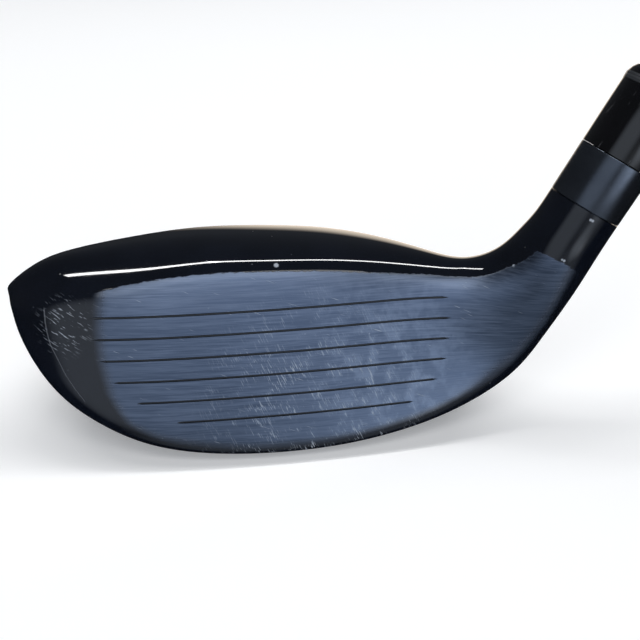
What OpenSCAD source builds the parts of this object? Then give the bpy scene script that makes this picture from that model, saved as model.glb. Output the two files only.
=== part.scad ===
// Hybrid golf club, right handed, standing at address on its sole.
// Millimetres. +Z is up, the face looks towards -Y, the toe is at -X and the shaft leans to +X.
// The origin is the point of the sole that touches the ground.

/* [Club] */
// Length along the shaft from the ground to the end of the grip cap
club_length = 1022; // [960:1:1060]
// Angle between the shaft and the ground
lie_angle = 61.2; // [58:0.1:64]
// Angle of the face back from the vertical, at mid height
loft_angle = 20.4; // [16:0.1:27]

/* [Face] */
// Radius of the face from heel to toe
bulge_radius = 350; // [250:5:500]
// Radius of the face from sole to topline
roll_radius = 350; // [250:5:500]
// Distance of the face at mid height in front of the origin
face_front = 9.5; // [9:0.1:10]
// Height of the middle of the face
face_mid_height = 19.3; // [17:0.1:22]

/* [Shell] */
// Thickness of the face plate
face_wall = 2; // [1.8:0.1:2.4]
// Thickness of the crown plate
crown_wall = 0.8; // [0.7:0.1:1.2]
// Thickness of the sole
sole_wall = 1.8; // [1.6:0.1:3]
// Thickness of the rear and the toe
skirt_wall = 1.2; // [1.1:0.1:2]

/* [Hosel] */
// Outer diameter of the hosel and of the sleeve's collar
hosel_diameter = 14; // [13.6:0.1:14.2]
// Distance of the hosel's top from the ground, along the shaft
hosel_top = 51.1; // [50:0.1:53]
// Distance of the shaft's axis from the origin, along the ground, towards the heel
hosel_x = 32.95; // [32:0.05:34]
// Distance of the shaft's axis in front of the origin
hosel_front = 5.3; // [5:0.1:5.6]
// Diameter of the bore that takes the loft sleeve
sleeve_bore = 11.1; // [10.9:0.1:11.3]
// Diameter of the wrench port in the sole
port_diameter = 7.8; // [7.6:0.1:8]

/* [Sleeve and ferrule] */
// Height of the collar that shows above the hosel
collar_height = 10.2; // [9:0.1:11]
// Length of the black ferrule below its ring
ferrule_length = 12.4; // [12:0.1:16]
// Width of the ring near the top of the ferrule
ring_width = 1.5; // [1:0.1:2]
// Diameter of the ferrule at its ring
ferrule_top_diameter = 13.9; // [13.2:0.1:14]

/* [Shaft] */
// Outer diameter of the shaft's tip
tip_diameter = 9.4; // [8.5:0.1:9.4]
// Outer diameter of the shaft's butt
butt_diameter = 15.2; // [14.7:0.1:15.6]
// Wall at the tip
tip_wall = 2.2; // [1.5:0.1:2.4]
// Wall at the butt
butt_wall = 1.1; // [0.9:0.1:1.5]

/* [Grip] */
// Length of the rubber sleeve
grip_length = 263; // [250:1:275]
// Outer diameter of the grip at its mouth
grip_mouth_diameter = 20; // [19:0.1:21]
// Outer diameter of the grip at its butt
grip_butt_diameter = 26.6; // [25:0.1:28]
// Thickness of the tape under the grip
tape_thickness = 0.2; // [0.1:0.05:0.3]
// Diameter of the vent hole in the cap
vent_diameter = 3; // [2.5:0.1:4]

/* [Screws] */
// Thread diameter of the hosel screw
screw_diameter = 5; // [4.9:0.1:5.1]
// Head diameter of the hosel screw
screw_head_diameter = 7; // [6.8:0.1:7.2]
// Across-points size of the six-lobe drive
drive_size = 4.4; // [4:0.1:4.6]
// Diameter of the sole weight
weight_diameter = 12; // [11:0.1:13]

/* [Hidden] */

$fn = 64;
hosel_r = hosel_diameter / 2;

// Places along the shaft's axis, from the ground up.
port_end = 14;
seat = 28;
web_top = 31;
spline_top = 35;
screw_tip = 37.8;
shaft_tip = 38.2;
collar_top = hosel_top + collar_height;
ring_bottom = collar_top + ferrule_length;
ring_top = ring_bottom + ring_width;
ferrule_top = ring_top + 2;
grip_mouth = club_length - 4 - grip_length;
shaft_top = club_length - 6;

// ---------------------------------------------------------------- head surface
// The outside of the head is one smooth skin over a net of stations from toe to heel.
// Each station is a closed section: face, topline, crown, rear, sole.
// [topline x, topline z, edge x, edge z, face set back, crown rise, rear y, rear z, roundness]
stations = [
  [-50.6, 27.9, -49.5, 24.0, 8.0, 3.4, 17.0, 26.0, 0.15],
  [-44.0, 31.5, -43.0, 13.5, 2.5, 5.0, 30.0, 19.5, 0.05],
  [-37.5, 32.5, -34.5,  8.0, 0.5, 5.0, 39.0, 14.5, 0.00],
  [-27.0, 34.0, -25.0,  3.5, 0.0, 4.5, 44.5, 13.5, 0.00],
  [-14.0, 36.0, -13.0,  1.5, 0.0, 3.0, 47.0, 13.5, 0.00],
  [  0.0, 36.0,   0.0,  1.0, 0.0, 2.0, 47.0, 13.5, 0.00],
  [ 12.0, 35.5,  13.0,  1.5, 0.0, 2.0, 44.5, 13.5, 0.00],
  [ 23.0, 34.0,  26.0,  3.5, 0.0, 2.0, 37.0, 14.5, 0.00],
  [ 31.5, 32.5,  37.0,  6.5, 0.0, 2.0, 27.0, 16.5, 0.10],
  [ 37.5, 32.0,  47.5, 11.5, 0.0, 2.0, 16.0, 21.5, 0.35],
  [ 43.5, 35.5,  52.5, 19.0, 0.0, 1.5,  7.0, 28.5, 0.70],
  [ 47.0, 41.0,  57.0, 28.0, 0.0, 1.5,  3.5, 36.5, 0.95]];
toe_tip = [-49, 8, 28.8];
// Rings of the hosel, as distances along the shaft's axis.
hosel_rings = [hosel_top - 5.4, hosel_top - 0.1, hosel_top + 5.8];

ring_points = 14;
ring_step = 360 / ring_points;
// A closed cubic spline shrinks a circle of control points by this much.
ring_gain = 3 / (2 + cos(ring_step));
function ring_angle(j) = ring_step * (j - 2.5);

function face_y(x, z) = -face_front + (z - face_mid_height) * tan(loft_angle)
    + x * x / (2 * bulge_radius) + pow(z - face_mid_height, 2) / (2 * roll_radius);
function mix(a, b, t) = a + (b - a) * t;

// One section as [y, height above the leading edge], in order round the club head.
// The edges keep their size on every section that is taller than 20.
// A straight front, where one is given, takes the place of the face.
function profile(foot, head, h, set_back, rise, rear_y, rear_h, straight) =
    let (front = function (k) !is_undef(straight) ? straight : set_back + face_y(mix(foot.x, head.x, k / h), mix(foot.y, head.y, k / h)),
         low = front(0), high = front(h), deep = rear_y - high, edge = min(1, h / 20))
    [[front(2.2 * edge), 2.2 * edge], [front(h * 0.3), h * 0.3], [front(h * 0.5), h * 0.5],
     [front(h * 0.7), h * 0.7], [front(h - 2.5 * edge), h - 2.5 * edge], [high + 1.6, h + 0.3],
     [high + deep * 0.20, h + rise], [high + deep * 0.48, h + rise * 0.35 - 0.6],
     [high + deep * 0.80, mix(rear_h, h, 0.62)], [rear_y, rear_h],
     [rear_y - deep * 0.08, rear_h * 0.42], [mix(low, rear_y, 0.62), 0.3],
     [mix(low, rear_y, 0.28), -1.75 * edge], [low + 1.2, -0.3]];

// The control points of a station; roundness blends the section into a circle round the axis.
function station_net(s) =
    let (foot = [s[2], s[3]], head = [s[0], s[1]], h = norm(head - foot), up = (head - foot) / h,
         mid = (head + foot) / 2, rear_h = (s[7] - s[3]) / max(up.y, 0.3),
         flat = profile(foot, head, h, s[4], s[5], s[6], rear_h, s[9]), m = s[8])
    [for (j = [0 : ring_points - 1])
        let (a = ring_angle(j), p = foot + up * flat[j][1],
             c = mid + up * h / 2 * sin(a) * ring_gain,
             cy = -hosel_front - h / 2 * cos(a) * ring_gain)
        [mix(p.x, c.x, m), mix(flat[j][0], cy, m), mix(p.y, c.y, m)]];

function axis_point(s) = [hosel_x + s * cos(lie_angle), -hosel_front, s * sin(lie_angle)];
function ring_net(s, r) =
    [for (j = [0 : ring_points - 1])
        let (a = ring_angle(j))
        axis_point(s) + r * ring_gain * [-sin(lie_angle) * sin(a), -cos(a), cos(lie_angle) * sin(a)]];

function pole_net(tip) = [for (j = [0 : ring_points - 1]) tip];
// A row beyond the tip, mirrored in it, closes the skin there with a smooth dome.
function ghost_net(first, tip) = [for (p = first) [p.x, 2 * tip.y - p.y, 2 * tip.z - p.z]];

outer_rows = [for (s = stations) station_net(s)];
outer_net = concat([ghost_net(outer_rows[0], toe_tip), pole_net(toe_tip)], outer_rows,
                   [for (s = hosel_rings) ring_net(s, hosel_r)]);

// Thickness of the ledges that carry the face and crown plates.
ledge = 0.9;

// The hollow inside. Near the heel it stays behind the tube that holds the sleeve.
tube_back = hosel_r + 1.2 - hosel_front;
tube_start = 8;
cavity_end = 10;
function inset(s, k) =
    [s[0], s[1] - crown_wall - ledge, s[2], s[3] + sole_wall, s[4] + face_wall + ledge,
     s[5], s[6] - skirt_wall, s[7], 0, k < tube_start ? undef : tube_back];
cavity_tip = toe_tip + [skirt_wall + 1, 0, -0.5];
cavity_rows = [for (k = [0 : cavity_end]) station_net(inset(stations[k], k))];
// The ends of the hollow draw in from the toe and from the heel, to keep the walls their thickness.
toe_shift = [1.8, 1.3, 0.7];
heel_shift = [-0.6, -1.5, -2, -2.4];
function cavity_shift(k) = k < 3 ? toe_shift[k] : (k < 7 ? 0 : heel_shift[k - 7]);
cavity_net = concat([ghost_net(cavity_rows[0], cavity_tip), pole_net(cavity_tip)],
                    [for (k = [0 : cavity_end]) [for (p = cavity_rows[k]) p + [cavity_shift(k), 0, 0]]]);

function weights(t) = [pow(1 - t, 3), 3 * t * t * t - 6 * t * t + 4,
                       -3 * t * t * t + 3 * t * t + 3 * t + 1, t * t * t] / 6;
// A point of the smooth skin; s runs from the toe tip to the hosel, f round the section.
function skin(net, s, f) =
    let (i = min(floor(s), len(net) - 4), a = weights(s - i), j = floor(f), b = weights(f - j))
    a * [for (k = [0 : 3])
        b * [for (l = [0 : 3]) net[i + k][(j + l + ring_points - 1) % ring_points]]];

// ---------------------------------------------------------------- grids and cells
// Steps of the grid between neighbouring stations, and between control points of a section.
fine = 3;
around = ring_points * fine;
outer_length = (len(outer_net) - 3) * fine;
cavity_length = (len(cavity_net) - 3) * fine;
function grid(net, length) =
    [for (i = [0 : length]) [for (j = [0 : around - 1]) skin(net, i / fine, j / fine)]];
outer_grid = grid(outer_net, outer_length);

// Places of the sole weight and of the damping pad, on the skins.
weight_spot = skin(outer_net, 6, 11);
weight_tilt = atan2(skin(outer_net, 6, 10.8).z - skin(outer_net, 6, 11.2).z,
                    skin(outer_net, 6, 10.8).y - skin(outer_net, 6, 11.2).y);
pad_spot = skin(cavity_net, 4.4, 12);

// The floor of the hollow rises over the weight, to hold its thread.
boss_height = 8.5;
boss_r = 9;
boss_foot = 13;
function boss(p) =
    let (r = norm([p.x - weight_spot.x, p.y - weight_spot.y]),
         t = min(1, max(0, (boss_foot - r) / (boss_foot - boss_r))))
    p.z > 20 ? p : p + [0, 0, boss_height * t * t * (3 - 2 * t)];
cavity_grid = [for (row = grid(cavity_net, cavity_length)) [for (p = row) boss(p)]];

function unit(v) = v / norm(v);
// Points outwards.
function normal(g, i, j) =
    unit(cross(g[i + 1][j] - g[i - 1][j], g[i][(j + 1) % around] - g[i][(j + around - 1) % around]));
// The underside of the plates: the outer grid moved inwards by the plate's thickness.
function plate_wall(j) = j < 5 * fine ? face_wall : crown_wall;
under_grid = [for (i = [0 : outer_length]) [for (j = [0 : around - 1])
    i == 0 || i == outer_length ? outer_grid[i][j]
        : outer_grid[i][j] - plate_wall(j) * normal(outer_grid, i, j)]];

// Regions of cells: [first row, last row, first column, last column].
face_region = [2 * fine, 8 * fine + 1, 1, 4 * fine - 1];
crown_region = [2 * fine, 8 * fine - 1, 6 * fine - 1, 9 * fine - 2];
ledge_cells = 2;
function inside(region, i, j, margin = 0) =
    i >= region[0] + margin && i <= region[1] - margin
    && j >= region[2] + margin && j <= region[3] - margin;
// The window behind the face stops short of the sleeve's tube.
face_window = [face_region[0] + ledge_cells, 7 * fine - 1, face_region[2] + ledge_cells,
               face_region[3] - ledge_cells];
OUTER = 0;
RECESS = 1;
OPEN = 2;
function level(i, j) =
    inside(face_window, i, j) || inside(crown_region, i, j, ledge_cells) ? OPEN
    : inside(face_region, i, j) || inside(crown_region, i, j) ? RECESS : OUTER;

// Points of a grid in one list; row 0 is one point, the tip of the toe.
function flat(g) = concat([g[0][0]], [for (i = [1 : len(g) - 1]) each g[i]]);
function at(start, i, j) = start + (i == 0 ? 0 : 1 + (i - 1) * around + j % around);
function cell(start, i, j) =
    let (p = at(start, i, j), q = at(start, i + 1, j), r = at(start, i + 1, j + 1), t = at(start, i, j + 1))
    i == 0 ? [[p, q, r]] : [[p, q, r], [p, r, t]];
function turned(faces) = [for (f = faces) [f[0], f[2], f[1]]];
// A wall between two grids below one edge of a cell.
function wall(high, low, i1, j1, i2, j2) =
    let (u = at(high, i1, j1), v = at(high, i2, j2), w = at(low, i1, j1), z = at(low, i2, j2))
    [[v, u, w], [v, w, z]];
// The four edges of a cell, each with the cell that lies across it.
function edges(i, j) = [[i, j, i + 1, j, i, (j + around - 1) % around],
                        [i + 1, j, i + 1, j + 1, i + 1, j],
                        [i + 1, j + 1, i, j + 1, i, (j + 1) % around],
                        [i, j + 1, i, j, i - 1, j]];

function sum(v, i = 0) = i == len(v) - 1 ? v[i] : v[i] + sum(v, i + 1);

// The cast shell: outside, ledges for the two plates, windows and the hollow inside.
module shell() {
    under = len(flat(outer_grid));
    inner = 2 * under;
    cavity_points = flat(cavity_grid);
    end = inner + len(cavity_points);
    starts = [0, under, inner];
    heel_wall = sum(cavity_grid[cavity_length]) / around;
    cells = [for (i = [0 : outer_length - 1], j = [0 : around - 1]) [i, j, level(i, j)]];
    skins = [for (c = cells) if (c[2] != OPEN) each cell(starts[c[2]], c[0], c[1])];
    walls = [for (c = cells) if (c[2] != OPEN) each
        [for (e = edges(c[0], c[1])) let (other = level(e[4], e[5])) if (other > c[2]) each
            wall(starts[c[2]], starts[other], e[0], e[1], e[2], e[3])]];
    hollow = [for (c = cells) if (c[0] < cavity_length && c[2] != OPEN) each
        turned(cell(inner, c[0], c[1]))];
    heel_cap = [for (j = [0 : around - 1])
        [at(inner, cavity_length, j), at(inner, cavity_length, j + 1), end]];
    hosel_cap = [[for (j = [0 : around - 1]) at(0, outer_length, around - 1 - j)]];
    polyhedron(concat(flat(outer_grid), flat(under_grid), cavity_points, [heel_wall]),
               concat(skins, walls, hollow, heel_cap, hosel_cap));
}

// A plate that fills one region of cells, from the outer skin down to its ledge.
module plate(region) {
    under = len(flat(outer_grid));
    cells = [for (i = [region[0] : region[1]], j = [region[2] : region[3]]) [i, j]];
    tops = [for (c = cells) each cell(0, c[0], c[1])];
    bottoms = [for (c = cells) each turned(cell(under, c[0], c[1]))];
    walls = [for (c = cells) each [for (e = edges(c[0], c[1])) if (!inside(region, e[4], e[5])) each
        wall(0, under, e[0], e[1], e[2], e[3])]];
    polyhedron(concat(flat(outer_grid), flat(under_grid)), concat(tops, bottoms, walls));
}

// ---------------------------------------------------------------- helpers
// Children drawn along +Z are set on the shaft's axis, with z as the distance from the ground.
module on_shaft() {
    translate([hosel_x, -hosel_front, 0]) rotate([0, 90 - lie_angle, 0]) children();
}
module rod(r, from, to) {
    translate([0, 0, from]) cylinder(r = r, h = to - from);
}
module tube(outer, inner, from, to) {
    difference() {
        rod(outer, from, to);
        rod(inner, from - 1, to + 1);
    }
}
// A toothed section with straight sides, for the sleeve's tip and its socket.
teeth = 8;
tooth_root = 4;
tooth_tip = 4.6;
module spline(root, tip, from, to) {
    tooth = 360 / teeth;
    translate([0, 0, from]) linear_extrude(to - from)
        polygon([for (k = [0 : teeth - 1], c = [[root, -0.30], [tip, -0.18], [tip, 0.18], [root, 0.30]])
            c[0] * [cos((k + c[1]) * tooth), sin((k + c[1]) * tooth)]]);
}
// A six-lobe socket for the wrench.
module drive(from, to, size) {
    translate([0, 0, from]) linear_extrude(to - from)
        polygon([for (a = [0 : 10 : 350]) (size / 2 - 0.28 + 0.28 * cos(6 * a)) * [cos(a), sin(a)]]);
}

weight_height = 4;
weight_fall = 6.3;
weight_sink = 0.35;
module on_weight() {
    translate(weight_spot) rotate([weight_tilt, 0, 0]) children();
}

// ---------------------------------------------------------------- head
module head_body() color("#15171b") difference() {
    shell();
    on_weight() rod(weight_diameter / 2 + 0.1, -3, weight_height + weight_sink);
    on_weight() rod(2.03, weight_height, weight_height + 7);
    on_shaft() rod(port_diameter / 2, -5, port_end);
    on_shaft() rod(port_diameter / 2 - 0.2, port_end - 1, seat);
    on_shaft() rod(screw_diameter / 2 + 0.2, seat - 1, web_top + 1);
    on_shaft() spline(tooth_root, tooth_tip, web_top, spline_top + 1);
    on_shaft() rod(sleeve_bore / 2, spline_top, hosel_top + 5);
}

module face_plate() color("#5d6878") plate(face_region);

module crown_plate() color("#08090b") plate(crown_region);

module damping_pad() color("#c9b27a") translate(pad_spot + [0, 0, 1.4])
    rotate_extrude() polygon([[0, 0], [5, 0], [4.75, 1.1], [3.8, 2], [2, 2.6], [0, 2.8]]);

// ---------------------------------------------------------------- sole weight
module sole_weight() color("#8a8d92") on_weight() difference() {
    rod(weight_diameter / 2, weight_sink, weight_height + weight_sink);
    rod(2.2, -1, weight_height + 2);
    rod(3.9, -1, weight_sink + 2.6);
}
module weight_screw() color("#3a3c40") on_weight() difference() {
    union() {
        rod(3.7, weight_sink + 0.3, weight_sink + 2.5);
        rod(2, weight_sink + 2.5, weight_height + 6.7);
    }
    drive(weight_sink - 1, weight_sink + 1.9, 3.4);
}

// ---------------------------------------------------------------- hosel hardware
screw_head_height = 3.6;
washer_height = 0.8;
module hosel_screw() color("#9aa0a6") on_shaft() difference() {
    union() {
        rod(screw_head_diameter / 2, seat - washer_height - screw_head_height, seat - washer_height);
        rod(screw_diameter / 2, seat - washer_height, screw_tip);
    }
    drive(seat - washer_height - screw_head_height - 1, seat - washer_height - 1, drive_size);
}
module screw_washer() color("#b9bdc2") on_shaft()
    tube(screw_head_diameter / 2, screw_diameter / 2 + 0.1, seat - washer_height + 0.05, seat);
module screw_retainer() color("#202225") on_shaft()
    tube(3.7, screw_diameter / 2, web_top + 0.1, web_top + 1);

sleeve_seam = 0.1;
module loft_sleeve() color("#4b4f55") on_shaft() difference() {
    union() {
        rod(hosel_r, hosel_top + sleeve_seam, collar_top);
        rod(sleeve_bore / 2 - 0.05, spline_top + 0.1, hosel_top + 1);
        spline(tooth_root - 0.1, tooth_tip - 0.1, web_top + 1.3, spline_top + 0.2);
    }
    rod(screw_diameter / 2 + 0.03, web_top, shaft_tip);
    rod(tip_diameter / 2 + 0.1, shaft_tip - 0.1, collar_top + 1);
}

// ---------------------------------------------------------------- ferrule
// Radius of the ferrule under its ring.
ring_seat = 6;
module ferrule() color("#060607") on_shaft() rotate_extrude()
    polygon([[tip_diameter / 2 + 0.03, collar_top], [hosel_r, collar_top],
             [hosel_r, collar_top + ferrule_length * 0.55],
             [ferrule_top_diameter / 2, ring_bottom], [ring_seat, ring_bottom], [ring_seat, ring_top],
             [ferrule_top_diameter / 2 - 0.05, ring_top], [ferrule_top_diameter / 2 - 0.35, ring_top + 0.9],
             [ferrule_top_diameter / 2 - 0.9, ferrule_top - 0.35], [tip_diameter / 2 + 0.3, ferrule_top],
             [tip_diameter / 2 + 0.03, ferrule_top]]);
module ferrule_ring() color("#a7abad") on_shaft() rotate_extrude()
    polygon([[ring_seat, ring_bottom], [ferrule_top_diameter / 2, ring_bottom],
             [ferrule_top_diameter / 2 + 0.05, ring_bottom + 0.2],
             [ferrule_top_diameter / 2 + 0.05, ring_top - 0.2],
             [ferrule_top_diameter / 2 - 0.05, ring_top], [ring_seat, ring_top]]);

// ---------------------------------------------------------------- shaft
tip_r = tip_diameter / 2;
butt_r = butt_diameter / 2;
taper_start = ferrule_top + 4;
taper_end = grip_mouth - 10;
module tip_bond() color("#d8cfa8") on_shaft()
    tube(tip_r + 0.1, tip_r, shaft_tip, collar_top);
module tip_plug() color("#b08d4a") on_shaft()
    rod(tip_r - tip_wall, shaft_tip + 1, shaft_tip + 16);
module shaft() color("#1c1d20") on_shaft() rotate_extrude()
    polygon([[tip_r - tip_wall, shaft_tip], [tip_r, shaft_tip], [tip_r, taper_start],
             [butt_r, taper_end], [butt_r, shaft_top], [butt_r - butt_wall, shaft_top],
             [butt_r - butt_wall, taper_end], [tip_r - tip_wall, taper_start]]);

// ---------------------------------------------------------------- grip
grip_top = club_length - 4;
grip_bore_r = butt_r + tape_thickness;
module grip_tape() color("#d9d4c4") on_shaft()
    tube(grip_bore_r, butt_r, grip_mouth + 6, shaft_top - 1);
module grip() color("#17181a") on_shaft() rotate_extrude()
    polygon([[grip_bore_r, grip_mouth], [grip_mouth_diameter / 2 - 0.8, grip_mouth],
             [grip_mouth_diameter / 2, grip_mouth + 0.8],
             [grip_mouth_diameter / 2 + 0.2, grip_mouth + 40],
             [grip_butt_diameter / 2 - 0.6, grip_top - 60],
             [grip_butt_diameter / 2, grip_top], [grip_bore_r, grip_top]]);
module grip_cap() color("#222326") on_shaft() rotate_extrude()
    polygon([[vent_diameter / 2, grip_top - 1.8], [butt_r, grip_top - 1.8], [butt_r, grip_top],
             [grip_butt_diameter / 2 + 0.6, grip_top], [grip_butt_diameter / 2 + 1, grip_top + 0.8],
             [grip_butt_diameter / 2 + 0.8, grip_top + 1.8], [grip_butt_diameter / 2 - 1.2, grip_top + 3.1],
             [8, grip_top + 3.8], [vent_diameter / 2, grip_top + 4]]);

head_body();
face_plate();
crown_plate();
damping_pad();
sole_weight();
weight_screw();
hosel_screw();
screw_washer();
screw_retainer();
loft_sleeve();
ferrule();
ferrule_ring();
tip_bond();
tip_plug();
shaft();
grip_tape();
grip();
grip_cap();
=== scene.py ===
"""Looks of a hybrid golf club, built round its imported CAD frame.

Sizes and places are in millimetres, as in the CAD, and turn into metres where a mesh is made.
The head's outside is the CAD's own smooth skin, drawn here with a finer grid.
"""

import math

import bmesh
import bpy
import numpy as np
from mathutils import Matrix, Quaternion, Vector
from mathutils.bvhtree import BVHTree


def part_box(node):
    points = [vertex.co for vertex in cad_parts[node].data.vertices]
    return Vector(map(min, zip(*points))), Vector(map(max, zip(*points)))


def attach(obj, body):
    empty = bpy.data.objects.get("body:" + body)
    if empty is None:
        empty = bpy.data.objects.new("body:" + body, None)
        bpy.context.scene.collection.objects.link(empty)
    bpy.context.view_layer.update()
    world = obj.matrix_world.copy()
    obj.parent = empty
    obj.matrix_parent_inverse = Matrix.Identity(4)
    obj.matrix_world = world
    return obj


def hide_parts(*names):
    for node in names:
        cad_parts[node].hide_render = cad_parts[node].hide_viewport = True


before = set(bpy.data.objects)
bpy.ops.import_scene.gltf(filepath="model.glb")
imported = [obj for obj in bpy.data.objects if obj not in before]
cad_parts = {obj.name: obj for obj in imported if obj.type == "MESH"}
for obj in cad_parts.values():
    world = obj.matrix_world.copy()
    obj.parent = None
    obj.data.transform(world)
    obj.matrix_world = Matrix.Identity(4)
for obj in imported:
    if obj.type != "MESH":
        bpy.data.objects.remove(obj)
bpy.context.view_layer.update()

MM = 0.001

# ------------------------------------------------------------ sizes, as in the CAD
lie = math.radians(61.2)
loft = math.radians(20.4)
face_curve = 350
face_front = 9.5
face_mid_height = 19.3
face_wall, crown_wall, sole_wall, skirt_wall, ledge = 2.0, 0.8, 1.8, 1.2, 0.9

hosel_x, hosel_front, hosel_r, hosel_top = 32.95, 5.3, 7.0, 51.1
sleeve_bore_r = 5.55
port_r, port_end, seat, web_top, spline_top = 3.9, 14.0, 28.0, 31.0, 35.0
screw_r, screw_head_r, screw_head_height, screw_tip = 2.5, 3.5, 3.6, 37.8
washer_height = 0.8
tooth_root, tooth_tip, tooth_count = 4.0, 4.6, 8

shaft_tip = 38.2
collar_top = hosel_top + 10.2
ring_bottom = collar_top + 12.4
ring_top = ring_bottom + 1.5
ferrule_top = ring_top + 2
ring_r = 6.95
tip_r, butt_r, tip_wall, butt_wall = 4.7, 7.6, 2.2, 1.1
club_length = 1022
grip_top = club_length - 4
shaft_top = club_length - 6
grip_mouth = grip_top - 263
grip_mouth_r, grip_butt_r, tape_thickness, vent_r = 10.0, 13.3, 0.2, 1.5

weight_r, weight_height, weight_sink = 6.0, 4.0, 0.35
weight_screw_r, weight_screw_head_r = 2.0, 3.7


def mix(a, b, t):
    return a + (b - a) * t


# ------------------------------------------------------------ the head's smooth skin
# [topline x, topline z, edge x, edge z, face set back, crown rise, rear y, rear z, roundness]
STATIONS = [
    (-50.6, 27.9, -49.5, 24.0, 8.0, 3.4, 17.0, 26.0, 0.15),
    (-44.0, 31.5, -43.0, 13.5, 2.5, 5.0, 30.0, 19.5, 0.05),
    (-37.5, 32.5, -34.5, 8.0, 0.5, 5.0, 39.0, 14.5, 0.00),
    (-27.0, 34.0, -25.0, 3.5, 0.0, 4.5, 44.5, 13.5, 0.00),
    (-14.0, 36.0, -13.0, 1.5, 0.0, 3.0, 47.0, 13.5, 0.00),
    (0.0, 36.0, 0.0, 1.0, 0.0, 2.0, 47.0, 13.5, 0.00),
    (12.0, 35.5, 13.0, 1.5, 0.0, 2.0, 44.5, 13.5, 0.00),
    (23.0, 34.0, 26.0, 3.5, 0.0, 2.0, 37.0, 14.5, 0.00),
    (31.5, 32.5, 37.0, 6.5, 0.0, 2.0, 27.0, 16.5, 0.10),
    (37.5, 32.0, 47.5, 11.5, 0.0, 2.0, 16.0, 21.5, 0.35),
    (43.5, 35.5, 52.5, 19.0, 0.0, 1.5, 7.0, 28.5, 0.70),
    (47.0, 41.0, 57.0, 28.0, 0.0, 1.5, 3.5, 36.5, 0.95),
]
TOE_TIP = (-49.0, 8.0, 28.8)
RING = 14
RING_GAIN = 3 / (2 + math.cos(2 * math.pi / RING))
RING_ANGLES = [2 * math.pi / RING * (j - 2.5) for j in range(RING)]


def face_y(x, z):
    rise = z - face_mid_height
    return -face_front + rise * math.tan(loft) + (x * x + rise * rise) / (2 * face_curve)


def station_net(station, straight=None):
    """The control points of one closed section: face, topline, crown, rear and sole."""
    top_x, top_z, edge_x, edge_z, set_back, rise, rear_y, rear_z, roundness = station
    foot = np.array([edge_x, edge_z])
    height = math.hypot(top_x - edge_x, top_z - edge_z)
    up = (np.array([top_x, top_z]) - foot) / height
    middle = foot + up * height / 2
    rear = (rear_z - edge_z) / max(up[1], 0.3)
    edge = min(1, height / 20)

    def front(k):
        return straight if straight is not None else set_back + face_y(*(foot + up * k))

    low, high = front(0), front(height)
    deep = rear_y - high
    outline = [
        (front(2.2 * edge), 2.2 * edge), (front(height * 0.3), height * 0.3),
        (front(height * 0.5), height * 0.5), (front(height * 0.7), height * 0.7),
        (front(height - 2.5 * edge), height - 2.5 * edge), (high + 1.6, height + 0.3),
        (high + deep * 0.20, height + rise), (high + deep * 0.48, height + rise * 0.35 - 0.6),
        (high + deep * 0.80, mix(rear, height, 0.62)), (rear_y, rear),
        (rear_y - deep * 0.08, rear * 0.42), (mix(low, rear_y, 0.62), 0.3),
        (mix(low, rear_y, 0.28), -1.75 * edge), (low + 1.2, -0.3),
    ]
    points = []
    for angle, (y, h) in zip(RING_ANGLES, outline):
        on_section = foot + up * h
        on_circle = middle + up * height / 2 * math.sin(angle) * RING_GAIN
        circle_y = -hosel_front - height / 2 * math.cos(angle) * RING_GAIN
        x, z = mix(on_section, on_circle, roundness)
        points.append((x, mix(y, circle_y, roundness), z))
    return points


def ring_net(distance):
    """Control points of a ring of the hosel, at a distance along the shaft's axis."""
    centre = np.array([hosel_x + distance * math.cos(lie), -hosel_front, distance * math.sin(lie)])
    reach = hosel_r * RING_GAIN
    return [centre + reach * np.array([-math.sin(lie) * math.sin(a), -math.cos(a),
                                       math.cos(lie) * math.sin(a)]) for a in RING_ANGLES]


def closed_net(rows, tip, rings=()):
    """Adds the toe's tip, and a row mirrored in it, so that the skin closes in a smooth dome."""
    ghost = [(x, 2 * tip[1] - y, 2 * tip[2] - z) for x, y, z in rows[0]]
    return np.array([ghost, [tip] * RING] + list(rows) + list(rings), dtype=float)


outer_net = closed_net([station_net(s) for s in STATIONS], TOE_TIP,
                       [ring_net(hosel_top + past) for past in (-5.4, -0.1, 5.8)])


def weights(t):
    """The four shares of a uniform cubic B-spline."""
    return np.array([(1 - t) ** 3, 3 * t ** 3 - 6 * t * t + 4,
                     -3 * t ** 3 + 3 * t * t + 3 * t + 1, t ** 3]) / 6


def skin(net, s, f):
    """Points of the skin. s runs from the toe's tip to the hosel, f round the section."""
    s, f = np.asarray(s, float), np.asarray(f, float)
    i = np.minimum(np.floor(s).astype(int), len(net) - 4)
    j = np.floor(f).astype(int)
    a, b = weights(s - i), weights(f - j)
    points = np.zeros(s.shape + (3,))
    for k in range(4):
        for m in range(4):
            points += (a[k] * b[m])[..., None] * net[i + k, (j + m - 1) % RING]
    return points


def skin_at(x, z):
    """The s and f of the points of the face that have these x and z."""
    s, f = 5.5 + np.asarray(x, float) / 12, np.full(np.shape(x), 2.0)
    step = 1e-3
    for _ in range(25):
        here = skin(outer_net, s, f)
        along = (skin(outer_net, s + step, f) - here) / step
        across = (skin(outer_net, s, f + step) - here) / step
        dx, dz = x - here[..., 0], z - here[..., 2]
        det = along[..., 0] * across[..., 2] - across[..., 0] * along[..., 2]
        s = np.clip(s + np.clip((dx * across[..., 2] - across[..., 0] * dz) / det, -1, 1), 1, 11)
        f = np.clip(f + np.clip((along[..., 0] * dz - dx * along[..., 2]) / det, -1, 1), 0, 5)
    return s, f


def skin_frame(s, f):
    """Point and outward normal of the outer skin."""
    step = 1e-3
    here = skin(outer_net, s, f)
    along = skin(outer_net, s + step, f) - here
    across = skin(outer_net, s, f + step) - here
    normal = np.cross(along, across)
    return here, normal / np.linalg.norm(normal, axis=-1, keepdims=True)


# ------------------------------------------------------------ grids and cells of the head
FINE = 12
AROUND = RING * FINE


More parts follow.
